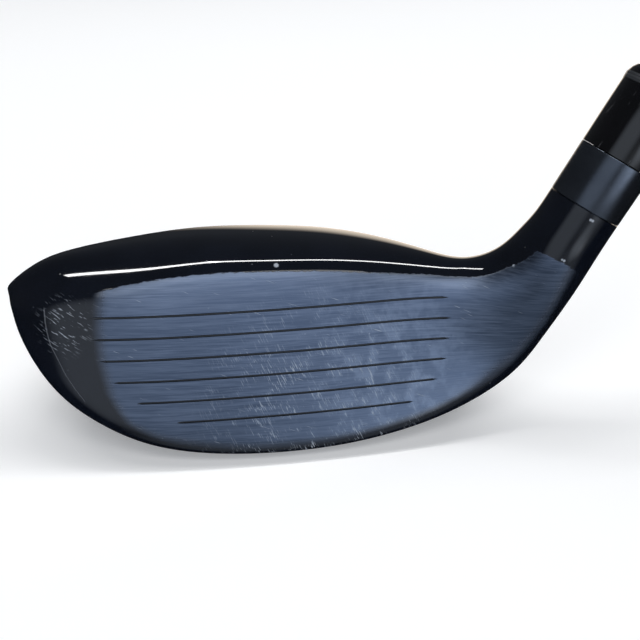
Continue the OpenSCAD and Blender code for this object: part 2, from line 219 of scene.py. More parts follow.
def places(rows):
    """The s and f of a grid's points."""
    return np.meshgrid(np.arange(rows + 1) / FINE, np.arange(AROUND) / FINE, indexing="ij")


def grid(net):
    return skin(net, *places((len(net) - 3) * FINE))


outer_grid = grid(outer_net)
ROWS = len(outer_grid) - 1
grid_s, grid_f = places(ROWS)


def grid_normals(points):
    along = np.gradient(points, axis=0)
    across = np.roll(points, -1, axis=1) - np.roll(points, 1, axis=1)
    normal = np.cross(along, across)
    normal[0] = normal[1].mean(axis=0)
    return normal / np.maximum(np.linalg.norm(normal, axis=-1, keepdims=True), 1e-12)


outer_normals = grid_normals(outer_grid)
plate_wall = np.where(grid_f < 5, face_wall, crown_wall)[..., None]
under_grid = outer_grid - plate_wall * outer_normals

weight_spot = skin(outer_net, 6.0, 11.0)
weight_side = skin(outer_net, 6.0, 10.8) - skin(outer_net, 6.0, 11.2)
weight_tilt = math.atan2(weight_side[2], weight_side[1])


def cavity_net():
    """The hollow inside. Near the heel it stays behind the tube that holds the sleeve."""
    shifts = [1.8, 1.3, 0.7, 0, 0, 0, 0, -0.6, -1.5, -2, -2.4]
    rows = []
    for k, (station, shift) in enumerate(zip(STATIONS, shifts)):
        tx, tz, ex, ez, back, rise, ry, rz, _ = station
        inset = (tx, tz - crown_wall - ledge, ex, ez + sole_wall, back + face_wall + ledge, rise,
                 ry - skirt_wall, rz, 0)
        straight = None if k < 8 else hosel_r + 1.2 - hosel_front
        rows.append([(x + shift, y, z) for x, y, z in station_net(inset, straight)])
    tip = (TOE_TIP[0] + skirt_wall + 1, TOE_TIP[1], TOE_TIP[2] - 0.5)
    return closed_net(rows, tip)


def with_boss(points):
    """Raises the hollow's floor over the sole weight, to hold its thread."""
    height, top_r, foot_r = 8.5, 9, 13
    reach = np.hypot(points[..., 0] - weight_spot[0], points[..., 1] - weight_spot[1])
    t = np.clip((foot_r - reach) / (foot_r - top_r), 0, 1)
    t[points[..., 2] > 20] = 0
    raised = points.copy()
    raised[..., 2] += height * t * t * (3 - 2 * t)
    return raised


cavity_grid = with_boss(grid(cavity_net()))
CAVITY_ROWS = len(cavity_grid) - 1

OUTER, RECESS, OPEN = 0, 1, 2
FACE_REGION = (2 * FINE, 26 * FINE // 3, FINE // 3, 4 * FINE)
CROWN_REGION = (2 * FINE, 8 * FINE, 17 * FINE // 3, 26 * FINE // 3)
LEDGE_CELLS = 2 * FINE // 3
FACE_WINDOW = (FACE_REGION[0] + LEDGE_CELLS, 7 * FINE, FACE_REGION[2] + LEDGE_CELLS,
               FACE_REGION[3] - LEDGE_CELLS)


def inside(region, i, j, margin=0):
    return (region[0] + margin <= i < region[1] - margin) and (region[2] + margin <= j < region[3] - margin)


def level(i, j):
    """How the shell lies at a cell: on the outer skin, under a plate, or open."""
    j %= AROUND
    if inside(FACE_WINDOW, i, j) or inside(CROWN_REGION, i, j, LEDGE_CELLS):
        return OPEN
    if inside(FACE_REGION, i, j) or inside(CROWN_REGION, i, j):
        return RECESS
    return OUTER


def flat(points):
    """A grid's points in one list; row 0 is one point, the tip of the toe."""
    return np.vstack([points[0, :1], points[1:].reshape(-1, 3)])


def at(start, i, j):
    return start + (0 if i == 0 else 1 + (i - 1) * AROUND + j % AROUND)


def cell(start, i, j):
    corners = [at(start, i, j), at(start, i + 1, j), at(start, i + 1, j + 1), at(start, i, j + 1)]
    return corners[:3] if i == 0 else corners


def cell_edges(i, j):
    """The four edges of a cell, each with the cell that lies across it."""
    return [((i, j), (i + 1, j), (i, j - 1)), ((i + 1, j), (i + 1, j + 1), (i + 1, j)),
            ((i + 1, j + 1), (i, j + 1), (i, j + 1)), ((i, j + 1), (i, j), (i - 1, j))]


def wall(high, low, first, second):
    return [at(high, *second), at(high, *first), at(low, *first), at(low, *second)]


def shell_mesh():
    """The cast shell: outside, ledges for the two plates, windows and the hollow inside."""
    outer, under, cavity = flat(outer_grid), flat(under_grid), flat(cavity_grid)
    heel_centre = cavity_grid[-1].mean(axis=0)
    starts = [0, len(outer), 2 * len(outer)]
    end = starts[2] + len(cavity)
    faces = []
    for i in range(ROWS):
        for j in range(AROUND):
            here = level(i, j)
            if here == OPEN:
                continue
            faces.append(cell(starts[here], i, j))
            if i < CAVITY_ROWS:
                faces.append(cell(starts[2], i, j)[::-1])
            for first, second, across in cell_edges(i, j):
                other = level(*across)
                if other > here:
                    faces.append(wall(starts[here], starts[other], first, second))
    for j in range(AROUND):
        faces.append([at(starts[2], CAVITY_ROWS, j + 1), at(starts[2], CAVITY_ROWS, j), end])
    faces.append([at(0, ROWS, j) for j in range(AROUND)])
    return np.vstack([outer, under, cavity, [heel_centre]]), faces


def plate_mesh(region):
    """A plate that fills one region of cells, from the outer skin down to its ledge."""
    outer, under = flat(outer_grid), flat(under_grid)
    start = len(outer)
    faces = []
    for i in range(region[0], region[1]):
        for j in range(region[2], region[3]):
            faces.append(cell(0, i, j))
            faces.append(cell(start, i, j)[::-1])
            for first, second, across in cell_edges(i, j):
                if not inside(region, *across):
                    faces.append(wall(0, start, first, second))
    return np.vstack([outer, under]), faces


# ------------------------------------------------------------ meshes
def placed(point, angle, axis):
    """The place of a piece whose own origin is at a point in millimetres, turned about an axis."""
    return Matrix.Translation(Vector(point) * MM) @ Matrix.Rotation(angle, 4, axis)


SHAFT_PLACE = placed((hosel_x, -hosel_front, 0), math.pi / 2 - lie, "Y")
WEIGHT_PLACE = placed(weight_spot, weight_tilt, "X")
SHARP_ANGLE = math.radians(32)


def mesh_object(name, vertices, faces, place=None, triangles=False):
    """A closed mesh object from points in millimetres, with only the points that its faces use."""
    mesh = bpy.data.meshes.new(name)
    mesh.from_pydata((np.asarray(vertices) * MM).tolist(), [], faces)
    build = bmesh.new()
    build.from_mesh(mesh)
    bmesh.ops.delete(build, geom=[v for v in build.verts if not v.link_faces], context="VERTS")
    bmesh.ops.recalc_face_normals(build, faces=build.faces)
    if triangles:
        bmesh.ops.triangulate(build, faces=build.faces)
    if place is not None:
        bmesh.ops.transform(build, matrix=place, verts=build.verts)
    build.to_mesh(mesh)
    build.free()
    thing = bpy.data.objects.new(name, mesh)
    bpy.context.scene.collection.objects.link(thing)
    return thing


def smooth(thing, angle=SHARP_ANGLE):
    thing.data.polygons.foreach_set("use_smooth", [True] * len(thing.data.polygons))
    thing.data.set_sharp_from_angle(angle=angle)


def rounded(corners, steps=4):
    """A profile of [r, z] points from corners [r, z, fillet radius]."""
    points = []
    count = len(corners)
    for k, corner in enumerate(corners):
        here = np.array(corner[:2], float)
        fillet = corner[2] if len(corner) > 2 else 0
        if not fillet:
            points.append(tuple(here))
            continue
        before = np.array(corners[k - 1][:2], float) - here
        after = np.array(corners[(k + 1) % count][:2], float) - here
        before /= np.linalg.norm(before)
        after /= np.linalg.norm(after)
        half = math.acos(max(-1, min(1, float(before @ after)))) / 2
        reach = fillet / math.tan(half)
        first, last = here + before * reach, here + after * reach
        for n in range(steps + 1):
            t = n / steps
            points.append(tuple((1 - t) ** 2 * first + 2 * t * (1 - t) * here + t * t * last))
    return points


def dense(profile, step, low=-1e9, high=1e9, inner=0.0):
    """Adds points to a closed profile, where it lies between two heights and outside a radius."""
    points = []
    for k, here in enumerate(profile):
        there = profile[(k + 1) % len(profile)]
        points.append(here)
        length = math.dist(here, there)
        middle = (here[1] + there[1]) / 2
        if low <= middle <= high and length > step and here[0] > inner:
            count = math.ceil(length / step)
            for n in range(1, count):
                points.append((mix(here[0], there[0], n / count), mix(here[1], there[1], n / count)))
    return points


def turned(profile, shape=None, segments=96):
    """A closed profile turned round Z. shape(r, z, angle) may change the radius of a point."""
    vertices, rings = [], []
    for r, z in profile:
        if r == 0:
            rings.append([len(vertices)] * segments)
            vertices.append((0, 0, z))
            continue
        rings.append(list(range(len(vertices), len(vertices) + segments)))
        for k in range(segments):
            angle = 2 * math.pi * k / segments
            reach = shape(r, z, angle) if shape else r
            vertices.append((reach * math.cos(angle), reach * math.sin(angle), z))
    faces = []
    for a, b in zip(rings, rings[1:] + rings[:1]):
        for k in range(segments):
            corners = [a[k], a[(k + 1) % segments], b[(k + 1) % segments], b[k]]
            corners = [c for n, c in enumerate(corners) if c not in corners[:n]]
            if len(corners) > 2:
                faces.append(corners)
    return vertices, faces


SAME_R = 1e-6
lobe_count, lobe_depth = 6, 0.28


def lobes(socket_r):
    """A shape for the wall of a lobed socket; only points at the socket's radius move."""
    def shape(r, z, angle):
        if abs(r - socket_r) > SAME_R:
            return r
        return r - lobe_depth + lobe_depth * math.cos(lobe_count * angle)
    return shape


def thread(r, pitch, depth, low, high):
    """A shape for a right-hand thread between two heights, fading at both ends."""
    def shape(radius, z, angle):
        if abs(radius - r) > SAME_R or not low <= z <= high:
            return radius
        turn = (z / pitch - angle / (2 * math.pi)) % 1
        fade = min(1, (z - low) / pitch, (high - z) / pitch)
        return radius - depth * fade * abs(2 * turn - 1)
    return shape


def both(first, second):
    """Two shapes, one after the other."""
    return lambda r, z, angle: second(first(r, z, angle), z, angle)


def cut(thing, cutter):
    """Takes the cutter's solid out of a piece."""
    change = thing.modifiers.new("cut", "BOOLEAN")
    change.operation, change.solver, change.object = "DIFFERENCE", "EXACT", cutter
    shown = thing.evaluated_get(bpy.context.evaluated_depsgraph_get())
    result = bpy.data.meshes.new_from_object(shown)
    thing.modifiers.clear()
    old, thing.data = thing.data, result
    result.name = thing.name
    bpy.data.meshes.remove(old)


def remove(*things):
    for thing in things:
        bpy.data.objects.remove(thing)


def piece(thing, body, node, slot, material):
    """Hangs a piece on its body's empty, gives it its finish, and hides the CAD node that it stands for."""
    thing.data.materials.clear()
    thing.data.materials.append(material)
    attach(thing, body)
    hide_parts(node)


def turned_piece(name, profile, names, material, shape=None, segments=96,
                 place=SHAFT_PLACE, angle=SHARP_ANGLE):
    """A piece turned round an axis. names are its body, its CAD node and its slot; the slot is not used."""
    thing = mesh_object(name, *turned(profile, shape, segments), place)
    smooth(thing, angle)
    piece(thing, *names, material)


# ------------------------------------------------------------ materials
class Graph:
    """Adds nodes to a node tree. add returns the node, and the calls after put its result's socket."""

    def __init__(self, tree):
        self.tree = tree

    def add(self, kind, inputs=None, **settings):
        node = self.tree.nodes.new("ShaderNode" + kind)
        for name, value in settings.items():
            setattr(node, name, value)
        for key, value in (inputs or {}).items():
            self.put(node.inputs[key], value)
        return node

    def put(self, socket, value):
        if isinstance(value, bpy.types.NodeSocket):
            self.tree.links.new(value, socket)
        else:
            socket.default_value = value

    def calc(self, operation, *values, clamp=False):
        inputs = dict(enumerate(values))
        return self.add("Math", inputs, operation=operation, use_clamp=clamp).outputs[0]

    def fold(self, operation, first, *others):
        for other in others:
            first = self.calc(operation, first, other)
        return first

    def times(self, *values):
        return self.fold("MULTIPLY", *values)

    def plus(self, *values):
        return self.fold("ADD", *values)

    def larger(self, *values):
        return self.fold("MAXIMUM", *values)

    def vector(self, operation, inputs, result="Vector"):
        return self.add("VectorMath", inputs, operation=operation).outputs[result]

    def span(self, value, low, high, to_low=0.0, to_high=1.0):
        inputs = {"Value": value, "From Min": low, "From Max": high, "To Min": to_low, "To Max": to_high}
        return self.add("MapRange", inputs, interpolation_type="SMOOTHSTEP").outputs[0]


class Nodes(Graph):
    """Builds one material."""

    def __init__(self, name):
        self.material = bpy.data.materials.new(name)
        self.material.use_nodes = True
        super().__init__(self.material.node_tree)
        self.shader = self.tree.nodes["Principled BSDF"]
        self.place = self.add("TexCoord").outputs["Object"]

    def set(self, **values):
        for name, value in values.items():
            self.put(self.shader.inputs[name.replace("_", " ")], value)

    def blend(self, factor, a, b):
        return self.add("Mix", {0: factor, 6: a, 7: b}, data_type="RGBA").outputs[2]

    def mixed(self, factor, a, b):
        return self.add("Mix", {0: factor, 2: a, 3: b}, data_type="FLOAT").outputs[0]

    def shade(self, value, low, high, dark, light):
        """From a dark to a light colour, as the value goes from low to high."""
        return self.blend(self.span(value, low, high), colour(*dark), colour(*light))

    def mapped(self, scale=(1, 1, 1), turn=(0, 0, 0)):
        """Object coordinates, first turned by these degrees, then scaled."""
        turn = [math.radians(angle) for angle in turn]
        turned_place = self.add("Mapping", {"Vector": self.place, "Rotation": turn})
        return self.add("Mapping", {"Vector": turned_place.outputs[0], "Scale": scale}).outputs[0]

    def noise(self, vector, scale, detail=2.0, roughness=0.5):
        inputs = {"Vector": vector, "Scale": scale, "Detail": detail, "Roughness": roughness}
        return self.add("TexNoise", inputs).outputs["Fac"]

    def cells(self, vector, scale, feature="F1"):
        return self.add("TexVoronoi", {"Vector": vector, "Scale": scale}, feature=feature).outputs["Distance"]

    def attribute(self, name):
        return self.add("Attribute", attribute_name=name).outputs["Fac"]

    def distance(self, point):
        """Distance in metres from a point that is in millimetres."""
        return self.vector("DISTANCE", {0: self.place, 1: [c * MM for c in point]}, "Value")

    def bump(self, height, distance, strength=1.0, normal=None):
        inputs = {"Height": height, "Distance": distance * MM, "Strength": strength}
        if normal is not None:
            inputs["Normal"] = normal
        return self.add("Bump", inputs).outputs[0]


# Turns object coordinates so that their Z runs along the shaft.
ALONG_SHAFT = (0, -90 + math.degrees(lie), 0)


def colour(r, g, b):
    return (r, g, b, 1.0)


def scratches(nodes, turn, stretch, amount):
    """Short fine scratches; a larger amount, up to 1, leaves fewer of them."""
    lines = nodes.noise(nodes.mapped((stretch, 0.12, 1), turn), 5200, 1.0)
    return nodes.span(lines, amount, amount + 0.07)


def gloss_paint(nodes):
    """Colour, roughness and bump height of gloss blue-black paint."""
    cloud = nodes.noise(nodes.place, 60, 3.0, 0.6)
    dust = nodes.times(nodes.span(nodes.cells(nodes.place, 260), 0.05, 0.02),
                       nodes.span(nodes.noise(nodes.place, 90, 1.0), 0.57, 0.66))
    base = nodes.shade(cloud, 0.3, 0.7, (0.0025, 0.0035, 0.0065), (0.004, 0.0055, 0.010))
    base = nodes.blend(nodes.times(dust, 0.4), base, colour(0.2, 0.2, 0.2))
    swirl = nodes.times(scratches(nodes, (25, 10, 40), 0.03, 0.72), 0.3)
    rough = nodes.calc("MULTIPLY_ADD", nodes.larger(dust, swirl), 0.4, 0.045)
    return base, rough, nodes.noise(nodes.place, 350, 2.0)


# Small light spots, each with a slight dent: where each one is, in millimetres, and its radius in metres.
LIGHT_SPOTS = [((0.3, -2.0, 35.1), 0.0006), ((56.2, -12.2, 44.4), 0.00032), ((55.8, -12.2, 44.6), 0.00032),
         ((51.7, -12.4, 37.1), 0.00032), ((51.3, -12.4, 37.3), 0.00032),
         ((44.1, -7.7, 34.7), 0.00036), ((44.9, -7.9, 34.8), 0.00036)]


def head_finish(name):
    """Gloss blue-black paint, with a brushed blue-grey face. Mesh attributes give the regions."""
    nodes = Nodes(name)
    across = nodes.add("SeparateXYZ", {0: nodes.place}).outputs["X"]

    # where the brushing ends, from distances in millimetres; noise makes the edges ragged
    top, toe, low, end = (nodes.attribute("brush_" + side) for side in ("top", "toe", "low", "end"))
    jag = nodes.noise(nodes.mapped((0.25, 0.2, 1)), 3500, 2.0)
    jag = nodes.calc("MULTIPLY_ADD", jag, 0.7, -0.35)
    top_edge = nodes.span(nodes.plus(top, jag), -0.10, 0.16)
    end_edge = nodes.span(nodes.plus(end, jag), -0.10, 0.16)
    toe_edge = nodes.span(toe, 0.0, 3.8)
    heel = nodes.span(across, 0.030, 0.046)
    # painted shade: near the heel the brushing fades into the black paint over about 5 mm above its low edge,
    # darkening the heel's lower face
    heel_shade_fade = nodes.times(nodes.span(low, -0.6, 4.2), heel)
    crisp_edge = nodes.times(nodes.span(low, -0.6, 2.0), nodes.calc("SUBTRACT", 1.0, heel))
    low_edge = nodes.plus(heel_shade_fade, crisp_edge)
    brushed = nodes.times(top_edge, end_edge, toe_edge, low_edge)

    # brushing: long fine lines along the face, in three widths
    wide = nodes.noise(nodes.mapped((0.05, 0.1, 1)), 520, 3.0, 0.6)
    fine = nodes.noise(nodes.mapped((0.03, 0.1, 1)), 2400, 3.0, 0.7)
    finest = nodes.noise(nodes.mapped((0.02, 0.1, 1)), 7000, 2.0, 0.6)
    cloud = nodes.noise(nodes.place, 60, 3.0, 0.6)
    lines = nodes.plus(nodes.times(wide, 0.20), nodes.times(fine, 0.40), nodes.times(finest, 0.40))

    steel = nodes.shade(lines, 0.38, 0.62, (0.075, 0.098, 0.145), (0.145, 0.18, 0.25))
    steel = nodes.blend(nodes.span(cloud, 0.35, 0.7, 0.0, 0.45), steel, colour(0.09, 0.115, 0.165))
    paint, gloss, peel = gloss_paint(nodes)

    # wear: scratches at the toe and low on the face, and small pits
    toe_zone = nodes.span(nodes.distance((-38.8, -3.5, 26.0)), 0.0068, 0.0015)
    low_zone = nodes.span(nodes.distance((6.0, -13.0, 10.0)), 0.027, 0.008)
    haze_zone = nodes.span(nodes.distance((20.0, -10.0, 16.0)), 0.024, 0.006)
    # small light spots, each with a slight dent
    light_spot = nodes.larger(*[nodes.span(nodes.distance(spot), r, r * 0.45) for spot, r in LIGHT_SPOTS])
    patches = nodes.span(nodes.noise(nodes.mapped((1, 0.2, 1)), 330, 3.0, 0.6), 0.42, 0.66)
    toe_marks = nodes.times(scratches(nodes, (0, -30, 0), 0.11, 0.63), toe_zone)
    low_marks = nodes.times(scratches(nodes, (0, -66, 0), 0.11, 0.57), low_zone, patches)
    stray = nodes.times(scratches(nodes, (0, -20, 0), 0.05, 0.74), brushed)
    haze = nodes.times(patches, haze_zone, brushed)
    pits = nodes.span(nodes.cells(nodes.place, 700), 0.14, 0.07)
    pits = nodes.times(pits, nodes.span(nodes.noise(nodes.place, 220, 2.0), 0.58, 0.68))
    pits = nodes.times(pits, nodes.larger(toe_zone, low_zone, 0.25))
    marks = nodes.larger(toe_marks, low_marks, stray, pits)
    marks = nodes.calc("MAXIMUM", marks, light_spot, clamp=True)

    # painted highlight: a thin light line along the top edge of the brushing, only where the face meets the
    # crown near the heel
    topline_highlight = nodes.span(nodes.calc("ABSOLUTE", nodes.plus(top, jag)), 0.22, 0.06)
    topline_highlight = nodes.times(topline_highlight, nodes.span(across, 0.008, 0.030), nodes.span(across, 0.046, 0.039))

    # a thin worn line where the face's paint meets the toe
    line = nodes.plus(nodes.attribute("toe_line"), nodes.times(jag, 0.4))
    line = nodes.span(nodes.calc("ABSOLUTE", line), 0.20, 0.05)
    line = nodes.times(line, nodes.attribute("toe_line_on"))

    base = nodes.blend(brushed, paint, steel)
    base = nodes.blend(nodes.times(line, 0.5), base, colour(0.14, 0.15, 0.17))
    base = nodes.blend(nodes.times(haze, 0.30), base, colour(0.26, 0.31, 0.40))
    # painted highlight along the topline near the heel
    base = nodes.blend(nodes.times(topline_highlight, 0.55), base, colour(0.26, 0.30, 0.37))
    base = nodes.blend(nodes.times(marks, 0.75), base, colour(0.42, 0.46, 0.52))
    # painted shade: the walls and floors of the score grooves, below the outer skin, are painted near-black
    # and not metallic
    groove_shade = nodes.span(nodes.attribute("below"), 0.02, 0.14)
    base = nodes.blend(groove_shade, base, colour(0.004, 0.005, 0.008))

    satin = nodes.span(lines, 0.3, 0.7, 0.30, 0.46)
    rough = nodes.mixed(brushed, gloss, satin)
    rough = nodes.mixed(nodes.larger(marks, line), rough, 0.5)

    grain = nodes.bump(nodes.times(lines, brushed), 0.03, 0.5)
    dent = nodes.bump(nodes.times(marks, -1.0), 0.02, 0.5, grain)
    waves = nodes.bump(peel, 0.010, 0.10, dent)
    metallic = nodes.times(brushed, nodes.calc("SUBTRACT", 1.0, groove_shade))
    nodes.set(Base_Color=base, Metallic=metallic, Roughness=rough, Normal=waves)
    return nodes.material


def crown_finish():
    nodes = Nodes("crown_gloss_paint")
    base, rough, peel = gloss_paint(nodes)
    nodes.set(Base_Color=base, Roughness=rough, Normal=nodes.bump(peel, 0.010, 0.10))
    return nodes.material


def turned_metal(name, dark, light, rough, mark=0.3):
    """Metal with fine lines left by turning round the shaft's axis or by milling."""
    nodes = Nodes(name)
    rings = nodes.noise(nodes.mapped((0.02, 0.02, 1), ALONG_SHAFT), 3000, 3.0, 0.6)
    cloud = nodes.noise(nodes.place, 180, 3.0, 0.6)
    shade = nodes.plus(nodes.times(rings, 0.7), nodes.times(cloud, 0.3))
    base = nodes.shade(shade, 0.35, 0.65, dark, light)
    wear = scratches(nodes, (15, 40, 0), 0.08, 0.70)
    base = nodes.blend(nodes.times(wear, mark), base, colour(0.5, 0.5, 0.52))
    spread = nodes.span(shade, 0.3, 0.7, rough - 0.06, rough + 0.08)
    nodes.set(Base_Color=base, Metallic=1.0, Roughness=spread, Normal=nodes.bump(rings, 0.02, 0.35))
    return nodes.material


def anodised(name, dark, light):
    """Smooth dark anodised metal: an even grain, faint turning lines and a few rubs."""
    nodes = Nodes(name)
    rings = nodes.noise(nodes.mapped((0.02, 0.02, 1), ALONG_SHAFT), 5000, 2.0, 0.5)
    grain = nodes.noise(nodes.place, 2600, 3.0, 0.6)
    cloud = nodes.noise(nodes.place, 150, 3.0, 0.6)
    rubs = nodes.times(scratches(nodes, (15, 40, 0), 0.05, 0.74), 0.3)
    base = nodes.shade(cloud, 0.35, 0.65, dark, light)
    base = nodes.blend(rubs, base, colour(0.3, 0.32, 0.36))
    rough = nodes.span(grain, 0.3, 0.7, 0.19, 0.27)
    height = nodes.plus(nodes.times(rings, 0.5), grain)
    nodes.set(Base_Color=base, Metallic=0.9, Roughness=rough, Normal=nodes.bump(height, 0.006, 0.12))
    return nodes.material


def gloss_plastic(name, dark, light, rough):
    """Moulded plastic with fine swirls and a thin clear coat."""
    nodes = Nodes(name)
    cloud = nodes.noise(nodes.place, 120, 3.0)
    base = nodes.shade(cloud, 0.3, 0.7, dark, light)
    swirl = scratches(nodes, (0, 60, 20), 0.05, 0.70)
    base = nodes.blend(nodes.times(swirl, 0.10), base, colour(0.3, 0.3, 0.32))
    haze = nodes.larger(swirl, nodes.times(cloud, 0.3))
    spread = nodes.calc("MULTIPLY_ADD", haze, 0.18, rough)
    nodes.set(Base_Color=base, Roughness=spread, Normal=nodes.bump(cloud, 0.02, 0.15),
              Coat_Weight=0.3, Coat_Roughness=0.05)
    return nodes.material


def graphite():
    """Painted graphite: a faint fibre weave under a clear coat."""
    nodes = Nodes("graphite_clear_coat")
    weave = nodes.noise(nodes.mapped((1, 1, 0.12), ALONG_SHAFT), 1500, 2.0, 0.6)
    cloud = nodes.noise(nodes.place, 40, 2.0)
    shade = nodes.plus(nodes.times(weave, 0.6), nodes.times(cloud, 0.4))
    base = nodes.shade(shade, 0.38, 0.62, (0.006, 0.006, 0.008), (0.022, 0.023, 0.027))
    rough = nodes.span(weave, 0.3, 0.7, 0.22, 0.36)
    nodes.set(Base_Color=base, Roughness=rough, Normal=nodes.bump(weave, 0.01, 0.2), Metallic=0.25,
              Coat_Weight=1.0, Coat_Roughness=0.04)
    return nodes.material


def rubber(name, dark, light, scale=1400.0):
    """Matt moulded rubber with a fine grain and some dust."""
    nodes = Nodes(name)
    grain = nodes.noise(nodes.place, scale, 3.0, 0.65)
    cloud = nodes.noise(nodes.place, 35, 3.0, 0.6)
    dust = nodes.span(nodes.noise(nodes.place, 500, 2.0), 0.60, 0.75, 0.0, 0.35)
    base = nodes.shade(cloud, 0.3, 0.7, dark, light)
    base = nodes.blend(dust, base, colour(0.06, 0.06, 0.063))
    rough = nodes.span(grain, 0.3, 0.7, 0.62, 0.86)
    nodes.set(Base_Color=base, Roughness=rough, Normal=nodes.bump(grain, 0.08, 0.6))
    nodes.set(Specular_IOR_Level=0.35)
    return nodes.material


def paper_tape():
    nodes = Nodes("paper_tape")
    fibres = nodes.noise(nodes.mapped((1, 1, 0.2)), 2500, 4.0, 0.7)
    creases = nodes.cells(nodes.place, 180, "DISTANCE_TO_EDGE")
    base = nodes.shade(fibres, 0.35, 0.65, (0.55, 0.50, 0.40), (0.74, 0.70, 0.60))
    height = nodes.plus(fibres, nodes.span(creases, 0.0, 0.08))
    rough = nodes.span(fibres, 0.3, 0.7, 0.7, 0.9)
    nodes.set(Base_Color=base, Roughness=rough, Normal=nodes.bump(height, 0.05, 0.5))
    return nodes.material


def resin(name, dark, light):
    """Cured glue or epoxy, cloudy and slightly wavy."""
    nodes = Nodes(name)
    cloud = nodes.noise(nodes.place, 220, 4.0, 0.6)
    base = nodes.shade(cloud, 0.3, 0.7, dark, light)
    rough = nodes.span(cloud, 0.3, 0.7, 0.18, 0.4)
    nodes.set(Base_Color=base, Roughness=rough, Normal=nodes.bump(cloud, 0.2, 0.4), Subsurface_Weight=0.15)
    nodes.set(Subsurface_Radius=(0.002, 0.0015, 0.001))
    return nodes.material


# ------------------------------------------------------------ head pieces
# Score lines: height at the middle of the face, then the x of the toe end and of the heel end.
SCORE_LINES = [(9.35, -19.7, 25.0), (13.05, -26.7, 29.9), (16.75, -30.7, 31.9),
               (20.5, -32.9, 32.6), (24.2, -33.8, 32.9), (27.9, -34.2, 32.5)]
score_slope = 0.011
score_half_width, score_floor, score_depth, score_end = 0.21, 0.10, 0.30, 0.7


def score_cutter(height, start, finish, steps=60):
    """A solid strip that follows the face, with sloping sides and ends that run out."""
    x = np.linspace(start, finish, steps)
    s, f = skin_at(x, height + score_slope * x)
    points, normal = skin_frame(s, f)
    lengthways = np.gradient(points, axis=0)
    lengthways /= np.linalg.norm(lengthways, axis=1, keepdims=True)
    sideways = np.cross(normal, lengthways)
    near = np.minimum(x - start, finish - x)
    size = np.sqrt(np.clip(1 - (1 - np.clip(near / score_end, 0, 1)) ** 2, 0.02, 1))
    clear = 0.5
    slope = (score_half_width - score_floor) / score_depth
    vertices, faces = [], []
    for p, n, v, k in zip(points, normal, sideways, size):
        wide = score_half_width * k
        for side, out in ((wide + slope * clear, clear), (score_floor * k, -score_depth * k),
                          (-score_floor * k, -score_depth * k), (-wide - slope * clear, clear)):
            vertices.append(p + v * side + n * out)
    for k in range(steps - 1):
        for m in range(4):
            faces.append([4 * k + m, 4 * k + (m + 1) % 4, 4 * k + 4 + (m + 1) % 4, 4 * k + 4 + m])
    faces.append([3, 2, 1, 0])
    faces.append([4 * steps - 4 + m for m in range(4)])
    return mesh_object("score_cutter", vertices, faces, triangles=True)


root_share, flank_share = 0.32, 0.12


def toothed(tip):
    """A shape that lets points at the radius of the teeth's tips fall to their roots in between."""
    def shape(r, z, angle):
        if abs(r - tip) > SAME_R:
            return r
        from_root = abs((angle / (2 * math.pi) * tooth_count) % 1 - 0.5)
        return r - (tooth_tip - tooth_root) * min(1, max(0, (root_share - from_root) / flank_share))
    return shape


def hosel_cutter():
    past, chamfer = 5, 0.4
    narrow, hole, mouth = port_r - 0.2, screw_r + 0.2, sleeve_bore_r + chamfer
    profile = [(0, -past), (port_r, -past), (port_r, port_end), (narrow, port_end), (narrow, seat),
               (hole, seat), (hole, web_top), (tooth_tip, web_top), (tooth_tip, spline_top),
               (sleeve_bore_r, spline_top), (sleeve_bore_r, hosel_top - chamfer), (mouth, hosel_top),
               (mouth, hosel_top + past), (0, hosel_top + past)]
    mesh = turned(profile, toothed(tooth_tip))
    return mesh_object("hosel_cutter", *mesh, SHAFT_PLACE, triangles=True)


def weight_cutter():
    past, chamfer = 3, 0.25
    pocket, thread_r = weight_r + 0.1, weight_screw_r + 0.03
    depth, thread_end = weight_height + weight_sink, weight_height + 7
    profile = [(0, -past), (pocket + chamfer, -past), (pocket + chamfer, 0.05), (pocket, 0.3),
               (pocket, depth), (thread_r, depth), (thread_r, thread_end), (0, thread_end)]
    return mesh_object("weight_cutter", *turned(profile), WEIGHT_PLACE, triangles=True)


# Brushed region: its edge under the topline, at the toe, along the sole and at the hosel.
# The lists along the head, top and low, hold [s, f] of the skin. Those round it hold [f, s].
BRUSH_TOP = [(3.0, 4.35), (3.5, 4.41), (4.0, 4.51), (4.7, 4.47), (6.0, 4.36), (7.5, 4.33), (8.3, 4.45),
             (9.0, 4.62), (9.8, 4.71), (10.8, 4.65), (11.25, 4.49), (11.85, 4.36), (12.4, 4.2)]
BRUSH_LOW = [(2.8, 0.75), (3.3, 0.35), (4.15, -0.05), (5.5, -0.2), (7.1, -0.15), (9.0, 0.1), (10.0, 0.35),
             (11.0, 0.9), (11.8, 1.6), (12.4, 1.9)]
BRUSH_TOE = [(0.4, 3.45), (1.0, 3.25), (2.0, 3.18), (3.0, 3.2), (4.5, 3.35)]
BRUSH_END = [(1.6, 12.42), (2.0, 12.33), (2.9, 12.22), (3.65, 12.04), (4.4, 11.84)]
TOE_LINE = [(0.4, 2.84), (0.7, 2.67), (1.1, 2.50), (1.6, 2.38), (2.1, 2.25), (2.7, 2.20),
            (3.3, 2.20), (3.9, 2.22)]


def along_line(line, where):
    """The second number of a line's points, where the first has the given values."""
    first, second = zip(*line)
    return np.interp(where, first, second)


